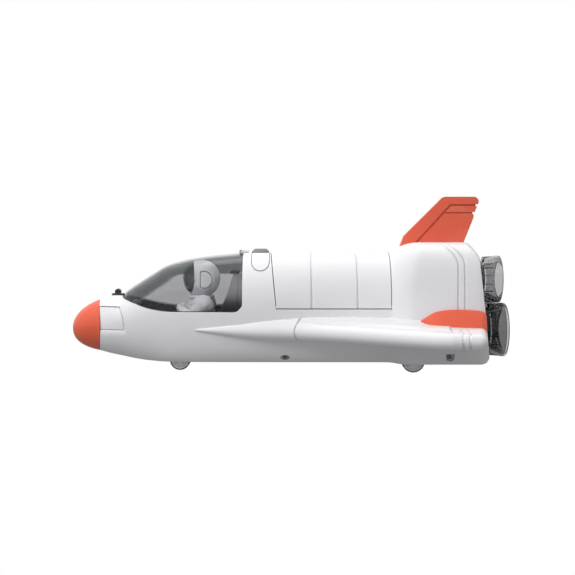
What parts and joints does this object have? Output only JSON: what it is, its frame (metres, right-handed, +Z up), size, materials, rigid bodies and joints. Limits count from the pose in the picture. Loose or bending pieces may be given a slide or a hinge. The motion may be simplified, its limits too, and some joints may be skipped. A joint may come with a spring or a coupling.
{
  "type": "toy space shuttle",
  "caption": "Rolling plastic toy space shuttle with a hinged clear canopy over a seated astronaut, opening cargo bay doors, delta wings, a tail fin and engine nozzles.",
  "frame": {"origin": "on the floor under the middle of the overall length, on the centre plane", "axes": "-X towards the nose, +Y to the far side of the picture, +Z up"},
  "size_m": [0.341, 0.223, 0.1363],
  "materials": {
    "white_plastic": "satin gloss",
    "orange_plastic": "satin gloss",
    "canopy_plastic": "clear smoked gloss",
    "smoked_plastic": "translucent smoked gloss",
    "charcoal_plastic": "satin",
    "black_plastic": "satin",
    "grey_plastic": "satin",
    "suit_plastic": "satin",
    "steel": "bright",
    "tyre": "matt"
  },
  "bodies": {
    "shuttle": {"body_shell": "white_plastic", "nose_cone": "orange_plastic", "canopy_hinge_pin": "steel", "cockpit_tub": "charcoal_plastic", "seat": "charcoal_plastic", "instrument_console": "charcoal_plastic", "control_stick": "black_plastic", "astronaut_body": "suit_plastic", "astronaut_arm_near": "suit_plastic", "astronaut_arm_far": "suit_plastic", "astronaut_helmet": "suit_plastic", "astronaut_visor": "smoked_plastic", "roof_pad": "white_plastic", "sound_button": "grey_plastic", "wing_near": "white_plastic", "wing_far": "white_plastic", "wing_fairing_near": "orange_plastic", "wing_fairing_far": "orange_plastic", "tail_fin": "orange_plastic", "engine_plate": "charcoal_plastic", "nozzle_top": "smoked_plastic", "nozzle_near": "smoked_plastic", "nozzle_far": "smoked_plastic", "thruster_core_top": "charcoal_plastic", "thruster_core_near": "charcoal_plastic", "thruster_core_far": "charcoal_plastic", "belly_plate": "white_plastic", "battery_cover": "white_plastic", "power_switch": "black_plastic", "friction_motor": "grey_plastic"},
    "canopy": {"canopy": "canopy_plastic"},
    "door_near": {"cargo_door_near": "white_plastic"},
    "door_far": {"cargo_door_far": "white_plastic"},
    "front_wheels": {"front_axle": "steel", "front_wheel_near": "grey_plastic", "front_wheel_far": "grey_plastic", "front_tyre_near": "tyre", "front_tyre_far": "tyre"},
    "rear_wheels": {"rear_axle": "steel", "rear_wheel_near": "grey_plastic", "rear_wheel_far": "grey_plastic", "rear_tyre_near": "tyre", "rear_tyre_far": "tyre"}
  },
  "joints": [
    {"name": "canopy_hinge", "type": "hinge", "parent": "shuttle", "child": "canopy", "pos_m": [-0.0357, 0, 0.093], "axis": [0, 1, 0], "range_deg": [0, 75]},
    {"name": "door_near_hinge", "type": "hinge", "parent": "shuttle", "child": "door_near", "pos_m": [0.0353, -0.03895, 0.0509], "axis": [1, 0, 0], "range_deg": [0, 100]},
    {"name": "door_far_hinge", "type": "hinge", "parent": "shuttle", "child": "door_far", "pos_m": [0.0353, 0.03895, 0.0509], "axis": [-1, 0, 0], "range_deg": [0, 100]},
    {"name": "front_axle_spin", "type": "hinge", "parent": "shuttle", "child": "front_wheels", "pos_m": [-0.0832, 0, 0.008], "axis": [0, 1, 0], "continuous": true},
    {"name": "rear_axle_spin", "type": "hinge", "parent": "shuttle", "child": "rear_wheels", "pos_m": [0.0982, 0, 0.009], "axis": [0, 1, 0], "continuous": true}
  ]
}
